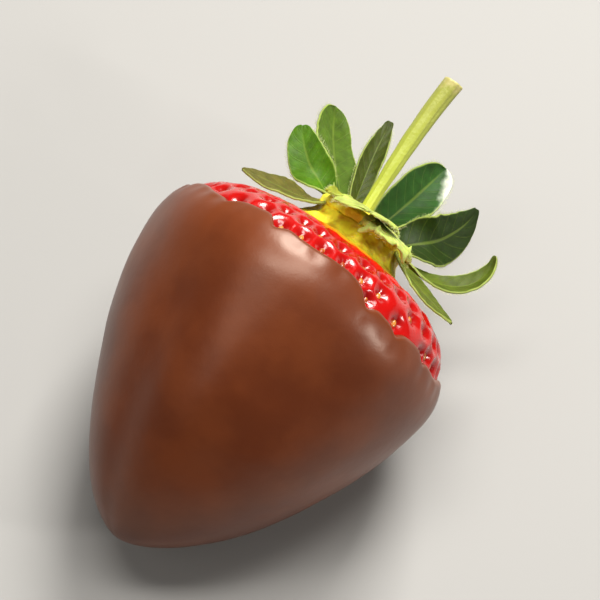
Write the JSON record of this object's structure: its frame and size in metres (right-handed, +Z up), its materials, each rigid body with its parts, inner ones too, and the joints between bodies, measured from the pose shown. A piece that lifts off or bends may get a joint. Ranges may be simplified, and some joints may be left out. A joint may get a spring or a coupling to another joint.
{
  "type": "chocolate coated strawberry",
  "caption": "Ripe strawberry dipped in milk chocolate up to its shoulders, lying on its side, with a ring of green leaves and a short cut stem.",
  "frame": {"origin": "centre of the bounding box in plan, at the height of the small flat of chocolate that the berry rests on", "axes": "+Z up, -Y towards the tip of the berry, +Y towards the cut end of the stem, +X to the right when looking along +Y"},
  "size_m": [0.0442, 0.0714, 0.0424],
  "materials": {
    "fruit_red": "moist glossy red strawberry skin with sunk seeds, turning orange and yellow at the neck",
    "milk_chocolate": "satin milk chocolate, softly uneven from dipping",
    "leaf_green": "soft green leaf with fine veins and a paler hairy edge",
    "stem_green": "pale yellow green stem with fine ribs and a cut end"
  },
  "bodies": {
    "root": {"strawberry_flesh": "fruit_red", "chocolate_coat": "milk_chocolate", "calyx_hub": "leaf_green", "sepal_01": "leaf_green", "sepal_02": "leaf_green", "sepal_03": "leaf_green", "sepal_04": "leaf_green", "sepal_05": "leaf_green", "sepal_06": "leaf_green", "sepal_07": "leaf_green", "sepal_08": "leaf_green", "sepal_09": "leaf_green", "sepal_10": "leaf_green", "sepal_11": "leaf_green", "stem": "stem_green"}
  },
  "joints": []
}
